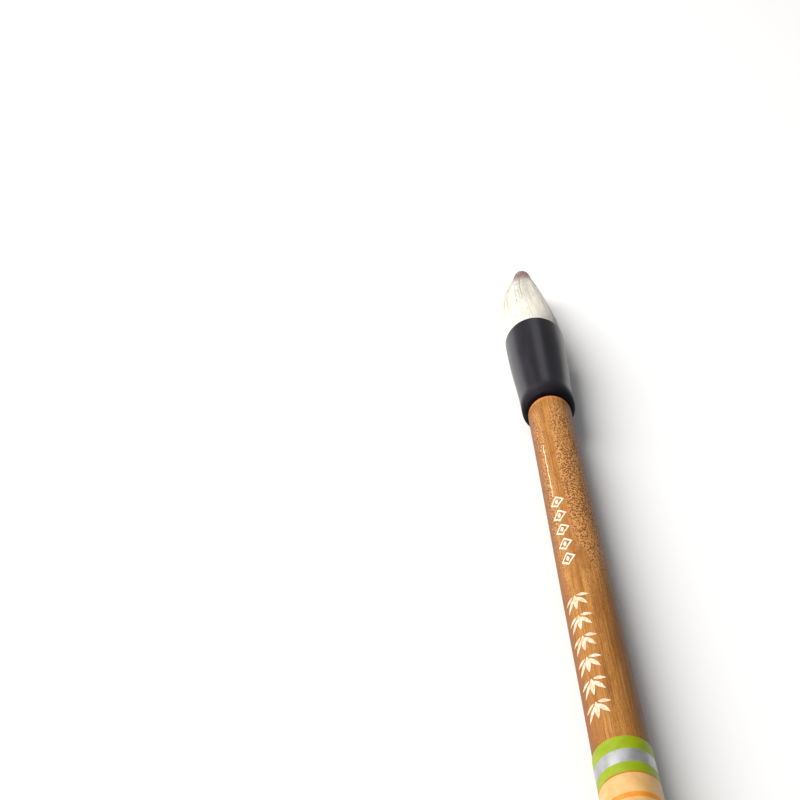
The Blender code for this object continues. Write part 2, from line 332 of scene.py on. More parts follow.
def film(name, light, dark, metallic=0.0, roughness=0.34):
    g = Graph(name)
    cloud = g.noise(0.5, 0.5, 0.5, 3.0, 0.6)
    dots = g.noise(7.0, 7.0, 7.0, 1.0, 0.5)
    g.set(
        Base_Color=g.ramp(cloud, (0.36, srgb(*dark)), (0.62, srgb(*light))),
        Metallic=metallic,
        Roughness=g.range(dots, 0.3, 0.7, roughness - 0.05, roughness + 0.07, kind="LINEAR"),
        Coat_Weight=0.07,
        Coat_Roughness=0.2,
        Specular_IOR_Level=0.25,
    )
    wrinkle = g.noise(0.35, 0.9, 0.35, 3.0, 0.55, 0.5)
    g.bump(g.math("ADD", g.math("MULTIPLY", wrinkle, 0.85), g.math("MULTIPLY", dots, 0.15)), 0.06, 0.35)
    return g.material


def inlay():
    g = Graph("white_inlay")
    worn = g.noise(1.6, 1.1, 1.6, 4.0, 0.65)
    paint = g.ramp(
        worn,
        (0.30, srgb(192, 144, 100)),
        (0.42, srgb(224, 202, 178)),
        (0.60, srgb(236, 224, 208)),
    )
    # the leaf sprays are rubbed thinner than the lozenges and the line
    sprays = g.range(g.part(1), metres(-55), metres(-59))
    thin = g.range(g.noise(2.4, 1.3, 2.4, 3.0, 0.6), 0.40, 0.62, 0.20, 0.80)
    paint = g.mix(g.math("MULTIPLY", sprays, thin), paint, srgb(206, 166, 126))
    g.set(
        Base_Color=paint,
        Roughness=g.range(worn, 0.3, 0.7, 0.62, 0.5, kind="LINEAR"),
        Specular_IOR_Level=0.3,
    )
    g.bump(g.noise(6.0, 6.0, 6.0, 2.0), 0.02, 0.5)
    return g.material


def white_hair(name="white_goat_hair", deep=0.0):
    g = Graph(name, bends=True)
    lock = g.noise(2.2, 0.05, 2.2, 3.0, 0.6)
    fine = g.noise(14.0, 0.20, 14.0, 2.0, 0.6)
    # with deep set, the two darker stops are lowered a little: painted shade for the under layer beneath the single
    # hairs
    hair = g.ramp(
        g.math("ADD", g.math("MULTIPLY", lock, 0.55), g.math("MULTIPLY", fine, 0.45)),
        (0.30, srgb(217 - 4 * deep, 212 - 5 * deep, 197 - 6 * deep)),
        (0.50, srgb(228 - 3 * deep, 224 - 4 * deep, 213 - 5 * deep)),
        (0.68, srgb(236, 233, 225)),
    )
    # towards their ends the white hairs thin out over the brown core
    ends = g.range(
        g.math("ADD", g.part(1), g.math("MULTIPLY", g.math("SUBTRACT", fine, 0.5), 3.5 * MM)),
        metres(48.0),
        metres(55.9),
    )
    hair = g.mix(g.math("MULTIPLY", ends, 0.78), hair, srgb(182, 155, 149))
    g.set(
        Base_Color=hair,
        Roughness=g.range(fine, 0.3, 0.7, 0.5, 0.62, kind="LINEAR"),
        Specular_IOR_Level=0.35,
        Sheen_Weight=0.15,
        Sheen_Roughness=0.4,
    )
    if deep:
        g.bump(fine, 0.03, 0.4)  # the single hairs are round and need none
    return g.material


def brown_hair(name="brown_core_hair", deep=False):
    g = Graph(name, bends=True)
    lock = g.noise(3.0, 0.06, 3.0, 3.0, 0.6)
    fine = g.noise(16.0, 0.25, 16.0, 2.0, 0.6)
    hair = g.ramp(
        g.math("ADD", g.math("MULTIPLY", lock, 0.5), g.math("MULTIPLY", fine, 0.5)),
        (0.36, srgb(142, 116, 114)),
        (0.52, srgb(165, 141, 138)),
        (0.68, srgb(187, 165, 160)),
    )
    g.set(
        Base_Color=hair,
        Roughness=g.range(fine, 0.3, 0.7, 0.45, 0.6, kind="LINEAR"),
        Specular_IOR_Level=0.4,
    )
    if deep:
        g.bump(fine, 0.03, 0.4)
    return g.material


def plain_inside(name, light, dark, roughness, along=0.05):
    g = Graph(name)
    grain = g.noise(2.5, along, 2.5, 4.0, 0.6)
    g.set(
        Base_Color=g.ramp(grain, (0.35, srgb(*dark)), (0.65, srgb(*light))),
        Roughness=g.range(grain, 0.3, 0.7, roughness - 0.05, roughness + 0.08, kind="LINEAR"),
    )
    g.bump(grain, 0.03, 0.5)
    return g.material


BAMBOO = bamboo()
BLACK = black_plastic()
# the ferrule's cut back end loses its shine in small steps
CUT = [(100.0, 0.50), (4.4, 0.43), (3.7, 0.36), (3.0, 0.29), (2.3, 0.22), (1.5, 0.16)]
BLACK_FERRULE = [
    black_plastic("black_horn_plastic_ferrule_%d" % k, (4.6, 1.4), shine) for k, (_, shine) in enumerate(CUT)
]
GREEN = film("label_green", (144, 162, 3), (130, 152, 1), roughness=0.40)
SILVER = film("label_silver", (184, 184, 186), (164, 164, 167), metallic=0.65, roughness=0.35)
BROWN_LINE = film("label_brown_line", (186, 116, 26), (166, 98, 16))
CREAM = film("label_cream", (216, 175, 117), (207, 160, 98))
ORANGE = film("label_orange", (222, 142, 42), (208, 126, 30))
INLAY = inlay()
WHITE = white_hair()
WHITE_UNDER_SHADED = white_hair("white_goat_hair_under_shaded", 1.0)
BROWN = brown_hair()
BROWN_DEEP = brown_hair("brown_core_hair_under", True)

# ------------------------------------------------------------------ meshes
def mesh_piece(name, verts, faces, materials, face_material=None, sharp=None):
    mesh = bpy.data.meshes.new(name)
    mesh.from_pydata([tuple(v) for v in verts], [], [tuple(f) for f in faces])
    for m in materials:
        mesh.materials.append(m)
    if face_material is not None:
        mesh.polygons.foreach_set("material_index", np.asarray(face_material, np.int32))
    mesh.validate()
    mesh.shade_smooth()
    if sharp is not None:
        mesh.set_sharp_from_angle(angle=math.radians(sharp))
    piece = bpy.data.objects.new(name, mesh)
    bpy.context.scene.collection.objects.link(piece)
    return piece


def world(x, station, z):
    """Points of the row frame, in metres, from millimetres across, along and above the axis."""
    x, station, z = np.broadcast_arrays(x, station, z)
    return np.stack([x * MM, (station + JOINT_Y) * MM, (z + AXIS_Z) * MM], axis=-1)


def lathe(name, profile, materials, segments=128, warp=None, band=None, angles=None, sharp=32):
    """A closed turned surface. profile lists (radius, station) down the outside from the tip end to the tail end and
    back up the bore; a profile that starts and ends on the axis has no bore. warp(radius, station, angle) gives the
    points (x, station, z) off the axis. band(station) gives each face's material."""
    on_axis = profile[0][0] == 0.0 and profile[-1][0] == 0.0
    a = np.linspace(0, 2 * math.pi, segments, endpoint=False) if angles is None else np.asarray(angles)
    segments = len(a)
    verts, rings = [], []
    for r, s in profile:
        if r == 0.0:
            rings.append(("pole", len(verts)))
            points = warp(np.zeros(1), np.full(1, s), np.zeros(1)) if warp else (0.0, s, 0.0)
            verts.append(world(*points).reshape(-1, 3)[0])
            continue
        rings.append(("ring", len(verts)))
        if warp:
            points = warp(np.full(segments, r), np.full(segments, s), a)
        else:
            points = (r * np.cos(a), np.full(segments, s), r * np.sin(a))
        verts.extend(world(*points))
    faces, bands = [], []
    pairs = list(zip(range(len(rings) - 1), range(1, len(rings))))
    if not on_axis:
        pairs.append((len(rings) - 1, 0))
    for i, j in pairs:
        (ki, bi), (kj, bj) = rings[i], rings[j]
        which = band((profile[i][1] + profile[j][1]) / 2) if band else 0
        for k in range(segments):
            n = (k + 1) % segments
            if ki == "pole" and kj == "pole":
                continue
            if ki == "pole":
                faces.append((bi, bj + k, bj + n))
            elif kj == "pole":
                faces.append((bi + n, bi + k, bj))
            else:
                faces.append((bi + n, bi + k, bj + k, bj + n))
            bands.append(which)
    piece = mesh_piece(name, verts, faces, materials, bands, None)
    face_outwards(piece)
    if sharp is not None:
        piece.data.set_sharp_from_angle(angle=math.radians(sharp))
    return piece


def face_outwards(piece):
    mesh = piece.data
    mesh.calc_loop_triangles()
    co = np.zeros(len(mesh.vertices) * 3)
    mesh.vertices.foreach_get("co", co)
    co = co.reshape(-1, 3)
    tri = np.zeros(len(mesh.loop_triangles) * 3, np.int32)
    mesh.loop_triangles.foreach_get("vertices", tri)
    p = co[tri.reshape(-1, 3)] - co.mean(0)
    if np.einsum("ij,ij->i", p[:, 0], np.cross(p[:, 1], p[:, 2])).sum() < 0:
        mesh.flip_normals()


def corner(radius, station, size, start, end, count=6):
    return [
        (radius + size * math.cos(math.radians(t)), station + size * math.sin(math.radians(t)))
        for t in spread(start, end, count)
    ]


rng = np.random.default_rng(7)


def ripple(count, low, high, amount):
    """A fixed sum of waves round the axis, for out-of-roundness and ribs."""
    k = rng.integers(low, high, count)
    phase = rng.uniform(0, 2 * math.pi, count)
    size = rng.uniform(0.4, 1.0, count) * amount / math.sqrt(count)
    drift = rng.uniform(-0.02, 0.02, count)

    def value(angle, station):
        total = 0.0
        for n, p, q, d in zip(k, phase, size, drift):
            total = total + q * np.cos(n * angle + p + d * station)
        return total

    return value


# ------------------------------------------------------------------ handle
oval = ripple(3, 2, 4, 0.030)
ribs = ripple(14, 14, 46, 0.012)


def bamboo_skin(r, s, a):
    outer = smooth(3.4, 3.9, r)
    r = r + outer * (oval(a, s * 0.35) + ribs(a, s * 0.5)) + outer * 0.012 * np.sin(s * 0.11 + 1.0)
    return r * np.cos(a), s, r * np.sin(a)


handle_profile = (
    [(2.3, -0.1), (3.30, -0.1), (3.92, -0.1)]
    + [(3.99, -0.112), (4.06, -0.17), (4.115, -0.26), (4.165, -0.38), (4.205, -0.52), (4.235, -0.68), (4.25, -0.90)]
    + [(4.25, s) for s in spread(-2.0, -188.6, 190)]
    + [(4.25, -189.2), (4.20, -189.45), (4.12, -189.7), (4.0, -189.9), (2.7, -189.9)]
    + [(2.7, -179.0), (2.0, -178.0)]
    + [(2.0, s) for s in spread(-170.0, -20.0, 7)]
    + [(2.0, -16.0), (2.3, -15.0)]
)
handle = lathe("bamboo_tube", handle_profile, [BAMBOO], 160, bamboo_skin)


def tube_map(piece, length, lengths, outside_from):
    """The tube's own map for its baked colours: the outside cut into equal lengths laid side by side, so that the
    flecks get enough of it, and the bore and ends in a strip beside them."""
    mesh = piece.data
    co = np.zeros(len(mesh.vertices) * 3)
    mesh.vertices.foreach_get("co", co)
    co = co.reshape(-1, 3) / MM
    where = np.zeros(len(mesh.loops), np.int32)
    mesh.loops.foreach_get("vertex_index", where)
    start = np.zeros(len(mesh.polygons), np.int32)
    mesh.polygons.foreach_get("loop_start", start)
    total = np.zeros(len(mesh.polygons), np.int32)
    mesh.polygons.foreach_get("loop_total", total)
    x, back, z = co[where, 0], JOINT_Y - co[where, 1], co[where, 2] - AXIS_Z
    radius = np.hypot(x, z)

    def face_mean(values):
        return np.repeat(np.add.reduceat(values, start) / total, total)

    middle_turn = np.arctan2(face_mean(z), face_mean(x)) / (2 * math.pi)
    turn = np.arctan2(z, x) / (2 * math.pi) - middle_turn
    around = middle_turn + turn - np.round(turn) + 0.5
    outside = face_mean(radius) > outside_from
    part_length = length / lengths
    which = np.clip(np.floor(face_mean(back) / part_length), 0, lengths - 1)
    u = np.where(outside, 0.01 + 0.98 * (back / part_length - which), 0.01 + 0.9 * back / length + 0.02 * (4.25 - radius))
    v = np.where(outside, 0.94 * (which + 0.01 + 0.98 * around) / lengths, 0.95 + 0.04 * around)
    layer = mesh.uv_layers.new(name="OFBake")
    layer.data.foreach_set("uv", np.stack([u, v], axis=-1).ravel())


tube_map(handle, 190.0, 3, 3.9)
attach(handle, "handle")
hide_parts("bamboo_handle")

# ------------------------------------------------------------------ ferrule
ferrule_outside = curve_through(
    [
        (0.95, 5.28),
        (5.0, 5.32),
        (9.5, 5.50),
        (15.0, 5.79),
        (20.0, 6.04),
        (24.5, 6.18),
        (28.02, 6.23),
    ]
)
ferrule_profile = (
    [(0.0, 13.3), (4.4, 13.3)]
    + corner(4.4, 14.1, 0.8, -90, 0, 6)[1:]
    + [(5.3, 18.0), (5.45, 23.0), (5.54, 27.6)]
    + [(5.56, 27.9), (5.62, 28.12), (5.72, 28.25), (5.84, 28.30)]
    + corner(5.95, 28.02, 0.28, 88, 12, 7)
    + [(float(ferrule_outside(s)), s) for s in spread(28.02, 1.5, 64)]
    + [(4.33 + 0.95 * math.cos(t) ** 0.9, 1.5 - 1.5 * math.sin(t)) for t in spread(0.10, 1.47, 12)]
    + [(4.28, 0.0), (2.6, 0.0), (2.3, 0.3), (2.3, 6.8), (0.0, 6.8)]
)
turning = ripple(4, 2, 5, 0.008)


def turned_skin(r, s, a):
    r = r + np.where(r > 3.9, turning(a, s * 0.1), 0.0)
    return r * np.cos(a), s, r * np.sin(a)




def cut_of(station):
    return sum(station < limit for limit, _ in CUT) - 1


ferrule = lathe("ferrule_head", ferrule_profile, BLACK_FERRULE, 160, turned_skin, cut_of)
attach(ferrule, "handle")
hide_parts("ferrule")

# ------------------------------------------------------------------ label
seam = math.radians(-62.0)
lap = math.radians(16.0)
label_angles = sorted(
    [seam + 2 * math.pi * k / 176 for k in range(176)]
    + [seam + lap - 0.002, seam + lap + 0.004]
)
bands = [
    (LABEL_FRONT - 2.4, 0),
    (LABEL_FRONT - 4.8, 1),
    (LABEL_FRONT - 6.55, 0),
    (LABEL_FRONT - 6.82, 2),
    (LABEL_FRONT - 10.2, 3),
    (LABEL_FRONT - 11.1, 4),
    (LABEL_BACK + 11.1, 3),
    (LABEL_BACK + 10.2, 4),
    (LABEL_BACK + 6.82, 3),
    (LABEL_BACK + 6.55, 2),
    (LABEL_BACK + 4.8, 0),
    (LABEL_BACK + 2.4, 1),
    (LABEL_BACK - 0.1, 0),
]


def band_of(station):
    return next((n for end, n in bands if station > end), 0)


edges = sorted({LABEL_FRONT - 0.02, LABEL_BACK + 0.02} | {end for end, _ in bands[:-1]}, reverse=True)
stations = []
for here, after in zip(edges, edges[1:]):
    stations += spread(here, after, max(2, int((here - after) / 1.0) + 1))[:-1]
stations.append(edges[-1])


def wrapped(r, s, a):
    turn = (a - seam) % (2 * math.pi)
    over = np.where(turn < lap, smooth(0.0, lap * 0.45, turn), 0.0)
    outer = r > 4.34
    slack = 0.012 * np.cos(3 * a + 0.05 * s) + 0.008 * np.cos(7 * a - 0.09 * s)
    r = r + np.where(outer, 0.055 * over + slack, 0.0)
    return r * np.cos(a), s, r * np.sin(a)


label_profile = (
    [(4.20, LABEL_FRONT - 0.02), (4.37, LABEL_FRONT - 0.02)]
    + [(4.395, s) for s in stations[:1]]
    + [(4.395, s) for s in stations[1:-1]]
    + [(4.395, stations[-1]), (4.20, stations[-1])]
    + [(4.20, s) for s in spread(LABEL_BACK + 5, LABEL_FRONT - 5, 4)]
)
label = lathe(
    "label_film", label_profile, [GREEN, SILVER, BROWN_LINE, CREAM, ORANGE], 176, wrapped, band_of, label_angles
)
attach(label, "handle")
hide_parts("label_wrap")

# ------------------------------------------------------------------ inlaid marks: a plain line, lozenges and leaf sprays
mark_verts, mark_faces = [], []
PROUD, SUNK = 0.022, -0.12


def skin_radius(angle, station):
    return float(HANDLE_R + oval(angle, station * 0.35) + ribs(angle, station * 0.5) + 0.012 * math.sin(station * 0.11 + 1.0))


def patch(grid, closed=False):
    """A thin solid that follows the handle. grid[i][j] is (angle, station)."""
    n, m = len(grid), len(grid[0])
    base = len(mark_verts)
    for stand in (PROUD, SUNK):
        for row in grid:
            for angle, s in row:
                r = skin_radius(angle, s) + stand
                mark_verts.append(
                    (
                        r * math.cos(angle) * MM,
                        (s + JOINT_Y) * MM,
                        (r * math.sin(angle) + AXIS_Z) * MM,
                    )
                )

    def at(layer, i, j):
        return base + layer * n * m + (i % n) * m + j

    rows = n if closed else n - 1
    for i in range(rows):
        for j in range(m - 1):
            mark_faces.append((at(0, i, j), at(0, i + 1, j), at(0, i + 1, j + 1), at(0, i, j + 1)))
            mark_faces.append((at(1, i, j), at(1, i, j + 1), at(1, i + 1, j + 1), at(1, i + 1, j)))
        mark_faces.append((at(0, i, 0), at(1, i, 0), at(1, i + 1, 0), at(0, i + 1, 0)))
        mark_faces.append((at(0, i, m - 1), at(0, i + 1, m - 1), at(1, i + 1, m - 1), at(1, i, m - 1)))
    if not closed:
        for j in range(m - 1):
            mark_faces.append((at(0, 0, j), at(0, 0, j + 1), at(1, 0, j + 1), at(1, 0, j)))
            mark_faces.append((at(0, n - 1, j), at(1, n - 1, j), at(1, n - 1, j + 1), at(0, n - 1, j + 1)))


def leaf(angle, station, direction, length, width, offset=0.0):
    """A leaf from offset to offset + length along direction (radians from the axis, towards the tail)."""
    grid = []
    for t in spread(0.0, 1.0, 13):
        w = width * (math.sin(math.pi * min(0.5 + (t - 0.42) / (1.16 if t > 0.42 else 0.84), 1.0)) ** 0.85 if 0 < t < 1 else 0.0)
        w = max(abs(w), 0.05)
        row = []
        for q in (-0.5, -0.25, 0.0, 0.25, 0.5):
            along = offset + t * length
            u = along * math.sin(direction) + q * w * math.cos(direction)
            v = -along * math.cos(direction) + q * w * math.sin(direction)
            row.append((angle + u / HANDLE_R, station + v))
        grid.append(row)
    patch(grid)


def lozenge(angle, station, half_across, half_along, stroke):
    grid = []
    for k in range(24):
        side, t = divmod(k / 6.0, 1.0)
        ends = [(1, 0), (0, 1), (-1, 0), (0, -1), (1, 0)]
        (u0, v0), (u1, v1) = ends[int(side)], ends[int(side) + 1]
        u, v = u0 + (u1 - u0) * t, v0 + (v1 - v0) * t
        grid.append(
            [
                (angle + u * half_across * f / HANDLE_R, station + v * half_along * f)
                for f in (1.0 - stroke, 1.0 - stroke / 2, 1.0)
            ]
        )
    patch(grid, closed=True)


line_angle = math.radians(138.0)
for from_s, to_s in ((-15.8, -18.9), (-19.1, -23.4), (-23.5, -27.0), (-27.3, -32.2)):
    patch(
        [
            [(line_angle + (q + 0.05 * math.sin(s * 1.7)) / HANDLE_R, s) for q in (-0.075, 0.0, 0.075)]
            for s in spread(from_s, to_s, 12)
        ]
    )
for s in (-34.3, -38.3, -42.3, -46.3, -50.3):
    a = math.radians(131.5)
    lozenge(a, s, 1.46, 1.62, 0.30)
    leaf(a, s, 0.0, 1.3, 0.62, -0.65)
for k, s in enumerate((-61.4, -66.2, -71.0, -75.8, -80.6, -85.4)):
    a = math.radians(134.0)
    base = s + 1.7
    leaf(a, base, 0.0, 3.35, 0.92, 0.0)
    for side in (1, -1):
        leaf(a, base - 0.25, 0.62 * side, 2.9, 0.74, 0.45)
        leaf(a, base, 1.22 * side, 2.1, 0.66, 0.40)
marks = mesh_piece("inlaid_marks", mark_verts, mark_faces, [INLAY], sharp=40)
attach(marks, "handle")

# ------------------------------------------------------------------ tail cap
F = -HANDLE_LENGTH
cap_profile = (
    [(0.0, F + 10.0), (2.0, F + 10.0), (2.25, F + 9.8), (2.4, F + 9.4), (2.4, F), (4.0, F), (4.2, F)]
    + corner(4.22, F - 0.48, 0.48, 84, 6, 7)
    + [(4.70, F - 0.9), (4.70, F - 1.15)]
    + [(4.69, F - 1.22), (4.60, F - 1.32), (4.53, F - 1.45), (4.52, F - 1.6), (4.53, F - 1.75), (4.60, F - 1.88), (4.69, F - 1.98)]
    + [(4.70, F - 2.05), (4.70, F - 3.0), (4.69, F - 4.0), (4.66, F - 5.0), (4.61, F - 6.0), (4.53, F - 7.0)]
    + [(4.45, F - 7.6), (4.33, F - 8.1), (4.18, F - 8.5), (4.02, F - 8.76), (3.86, F - 8.92), (3.68, F - 8.985), (3.5, F - 9.0)]
    + [(1.8, F - 9.0), (0.0, F - 9.0)]
)
cap = lathe("tail_cap_turned", cap_profile, [BLACK], 144, turned_skin)
hole_station = TAIL + 4.4
drill_profile = [(0.0, 6.0), (2.1, 6.0), (1.9, 4.85), (1.55, 4.5), (1.32, 4.28), (1.2, 4.0), (1.2, 0.0), (1.2, -4.0), (1.32, -4.28), (1.55, -4.5), (1.9, -4.85), (2.1, -6.0), (0.0, -6.0)]
drill = lathe("hang_drill", drill_profile, [BLACK], 48, sharp=None)
drill.data.transform(Matrix.Translation((0, -JOINT_Y * MM, -AXIS_Z * MM)))
drill.data.transform(Matrix.Rotation(math.pi / 2, 4, "Z"))
drill.data.transform(Matrix.Translation((0, (hole_station + JOINT_Y) * MM, AXIS_Z * MM)))
cut = cap.modifiers.new("hang_hole", "BOOLEAN")
cut.operation = "DIFFERENCE"
cut.object = drill
bpy.context.view_layer.update()
drilled = bpy.data.meshes.new_from_object(cap.evaluated_get(bpy.context.evaluated_depsgraph_get()))
cap.modifiers.clear()
cap.data = drilled
cap.data.set_sharp_from_angle(angle=math.radians(30))
bpy.data.objects.remove(drill, do_unlink=True)
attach(cap, "handle")
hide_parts("tail_cap")

# ------------------------------------------------------------------ tuft
tuft_outside = curve_through(
    [
        (14.6, 4.75),
        (27.7, 5.25),
        (28.3, 5.42),
        (29.2, 5.68),
        (31.0, 5.92),
        (33.5, 6.00),
        (36.0, 5.86),
        (38.0, 5.65),
        (41.0, 5.27),
        (44.0, 4.86),
        (47.0, 4.38),
        (50.0, 3.76),
        (53.0, 3.08),
        (55.5, 2.52),
        (57.6, 2.12),
        (59.0, 1.90),
        (60.0, 1.54),
        (60.7, 0.98),
        (61.0, 0.35),
    ]
)
core_outside = curve_through(
    [
        (14.6, 2.6),
        (28.3, 3.3),
        (34.0, 3.7),
        (40.0, 3.5),
        (46.0, 2.95),
        (50.0, 3.05),
        (52.5, 2.80),
        (55.0, 2.48),
        (57.2, 2.10),
        (59.0, 1.84),
        (60.0, 1.47),
        (60.7, 0.90),
        (60.95, 0.45),
        (61.0, 0.15),
    ]
)
lean_x = curve_through([(27.0, 0.0), (31.0, -0.10), (34.0, -0.30), (38.0, -0.57), (43.0, -0.70)])


def lean(s):
    """The tuft's belly hangs a little to one side and its point leans back to the other."""
    return lean_x(s) + 0.94 * smooth(45.0, 60.0, s)


LOCKS = 58
lock_angle = np.sort((np.arange(LOCKS) + rng.uniform(-0.28, 0.28, LOCKS)) * 2 * math.pi / LOCKS)
lock_high = rng.uniform(0.6, 1.0, LOCKS)


def lock_of(a):
    """The nearest lock's number and how far round from it the angle is, from -1 to 1."""
    gap = (a[:, None] - lock_angle[None, :] + math.pi) % (2 * math.pi) - math.pi
    k = np.abs(gap).argmin(1)
    return k, gap[np.arange(len(a)), k] / (math.pi / LOCKS)


under_waves = ripple(22, 60, 150, 1.0)


def tuft_skin(share, inner=False):
    def skin(r, s, a):
        outer = r > core_outside(s) + 0.12 if inner else np.ones_like(r, bool)
        k, off = lock_of(a)
        groove = smooth(30.0, 57.0, s) * 0.014 * np.clip(np.abs(off), 0, 1.3) ** 2 * lock_high[k]
        fine = 0.007 * smooth(27.0, 34.0, s) * under_waves(a, s * 0.4)
        r2 = np.where(outer, r * (1.0 - groove + fine), r)
        return r2 * np.cos(a) + lean(s), s, r2 * np.sin(a)

    return skin


def dip(s, at, ahead):
    """How far a length sinks under the next one past the split at station at."""
    over = (s - at) if ahead else (at - s)
    return 0.16 * smooth(0.0, 1.1, over)


def shell(name, first, last, n, made_of, ahead, share=0.99, round_off=0.0):
    """A length of the cover hair as one closed hollow bundle."""

    def outside(ss):
        return tuft_outside(ss) * share - round_off * smooth(last - 1.8, last, ss) - dip(ss, SPLIT, ahead)

    ss = np.linspace(last, first, n)
    out = outside(ss)
    ss_in = np.linspace(first, last, max(6, n // 3))
    inn = np.minimum(core_outside(ss_in) + 0.05, outside(ss_in) - 0.06)
    profile = [(float(r), float(s)) for r, s in zip(out, ss)] + [(float(r), float(s)) for r, s in zip(inn, ss_in)]
    return lathe(name, profile, [made_of], 220, tuft_skin(share, True), sharp=60)


lower = shell("cover_hair_lower", 14.6, SPLIT + 1.2, 58, WHITE_UNDER_SHADED, True)
upper = shell("cover_hair_upper", SPLIT - 1.2, 53.6, 52, WHITE_UNDER_SHADED, False, round_off=0.22)


def core(name, first, last, n, tip):
    ss = np.linspace(last, first, n)
    profile = [(float(core_outside(s)) * 0.97, float(s)) for s in ss]
    profile = [(0.0, last + (0.03 if tip else 0.0))] + profile + [(0.0, first)]
    return lathe(name, profile, [BROWN_DEEP], 120, tuft_skin(0.97), sharp=60)


core_lower = core("core_hair_lower", 14.6, SPLIT, 30, False)
core_upper = core("core_hair_upper", SPLIT, 60.94, 60, True)


def hairs(count, first, ends, depth, thick, outside, seed, curl=1.0):
    """The lasting numbers of a set of hairs: angle, depth in the tuft, end station, thickness, lock, waver."""
    r = np.random.default_rng(seed)
    a = r.uniform(0, 2 * math.pi, count)
    k, off = lock_of(a)
    return {
        "a": a,
        "k": k,
        "off": off,
        "rho": 1.0 - depth * r.random(count) ** 1.3,
        "end": np.clip(r.normal(ends[0], ends[1], count), ends[2], ends[3]),
        "thick": thick * r.uniform(0.75, 1.25, count),
        "wave": r.uniform(0, 2 * math.pi, (count, 2)),
        "stray": curl * (r.random(count) ** 40) * 0.25,
        "first": first,
        "outside": outside,
        "pull": r.uniform(0.10, 0.50, count),
    }


def hair_line(h, s):
    """Centre line and radius of each hair at stations s, an array of one row a hair."""
    pull = smooth(32.0, 60.0, s) * h["pull"][:, None]
    gap = h["off"][:, None] * (math.pi / LOCKS)
    a = h["a"][:, None] - gap * pull * 0.8
    a = a + 0.012 * np.sin(0.35 * s + h["wave"][:, :1]) + 0.006 * np.sin(0.9 * s + h["wave"][:, 1:])
    sink = smooth(30.0, 57.0, s) * 0.014 * np.abs(h["off"][:, None]) ** 2 * lock_high[h["k"]][:, None]
    rho = h["rho"][:, None] - sink * (1 - pull) + h["stray"][:, None] * smooth(29, 44, s) * (1 - smooth(48, 60, s)) * 0.35
    radius = h["outside"](s) * rho
    along = np.clip((s - h["first"]) / (h["end"][:, None] - h["first"]), 0, 1)
    thick = h["thick"][:, None] * (1.0 - 0.50 * along) * (1 - smooth(0.86, 1.0, along) * 0.80)
    x = radius * np.cos(a) + lean(s)
    z = radius * np.sin(a)
    return x, z, a, thick


def hair_piece(name, h, stations, made_of, ahead=None):
    """Three-sided tapering hairs at the given stations (one row a hair), as one mesh of closed spikes."""
    x, z, a, thick = hair_line(h, stations)
    if ahead is not None:
        over = (stations - SPLIT) if ahead else (SPLIT - stations)
        thick = thick * (1.0 - 0.7 * np.clip(over / 0.8, 0, 1))
    count, m = stations.shape
    corners = []
    for t in range(3):
        turn = a + math.radians(120.0 * t)
        corners.append(world(x + thick * np.cos(turn), stations, z + thick * np.sin(turn)))
    verts = np.stack(corners, axis=2).reshape(-1, 3)  # hair, station, corner
    i = np.arange(count)[:, None, None] * m * 3
    j = np.arange(m - 1)[None, :, None] * 3
    t = np.arange(3)[None, None, :]
    n = (t + 1) % 3
    quads = np.stack([i + j + t, i + j + n, i + j + 3 + n, i + j + 3 + t], axis=-1).reshape(-1, 4)
    base = (np.arange(count) * m * 3)[:, None]
    caps = np.concatenate([base + np.array([[2, 1, 0]]), base + (m - 1) * 3 + np.array([[0, 1, 2]])])
    faces = [tuple(f) for f in quads.tolist()] + [tuple(f) for f in caps.tolist()]
    piece = mesh_piece(name, verts, faces, [made_of])
    mesh = piece.data
    # each hair has one thin row of the map to itself, and runs along it
    where = np.empty(len(mesh.loops), np.int64)
    mesh.loops.foreach_get("vertex_index", where)
    hair, rest = np.divmod(where, m * 3)
    step, corner = np.divmod(rest, 3)
    first, last = stations[:, 0].min(), stations[:, -1].max()
    along = (stations[hair, step] - first) / (last - first)
    row = (hair + np.array([0.0, 0.5, 1.0])[corner]) / count
    layer = mesh.uv_layers.new(name="OFBake")
    layer.data.foreach_set("uv", np.stack([0.004 + 0.992 * along, row], axis=-1).ravel())
    # outward test on one hair
    f = mesh.polygons[0]
    centre = world(x[0, :1], stations[0, :1], z[0, :1])[0]
    if (Vector(f.center) - Vector(centre)).dot(f.normal) < 0:
        mesh.flip_normals()
    return piece


cover = hairs(3400, 24.0, (54.2, 1.6, 47.5, 57.4), 0.030, 0.052, tuft_outside, 11)
point = hairs(900, 48.0, (59.9, 0.8, 56.5, 60.95), 0.20, 0.042, lambda s: core_outside(s) * 1.01, 12, 0.0)


def rows(stations, last):
    """The shared stations up to each hair's end, the rest shared out before it."""
    first = stations[0]
    t = (np.asarray(stations) - first) / (stations[-1] - first)
    return first + (last - first)[:, None] * t[None, :]


n_cover = len(cover["a"])
low_rows = np.tile(np.array([26.0, 29.2, 30.8, 32.3, 33.8, 35.3, 36.9, 38.6, SPLIT - 0.1, SPLIT + 0.9]), (n_cover, 1))
high_first = np.array([SPLIT - 0.9, SPLIT + 0.1])
high_rest = SPLIT + 0.1 + (cover["end"] - SPLIT - 0.1)[:, None] * np.array([0.13, 0.26, 0.39, 0.52, 0.65, 0.79, 0.92, 1.0])[None, :]
high_rows = np.concatenate([np.tile(high_first, (n_cover, 1)), high_rest], axis=1)
strands_lower = hair_piece("cover_strands_lower", cover, low_rows, WHITE, True)
strands_upper = hair_piece("cover_strands_upper", cover, high_rows, WHITE, False)
point_strands = hair_piece("core_strands_point", point, rows(spread(49.5, 60.9, 9), point["end"]), BROWN)
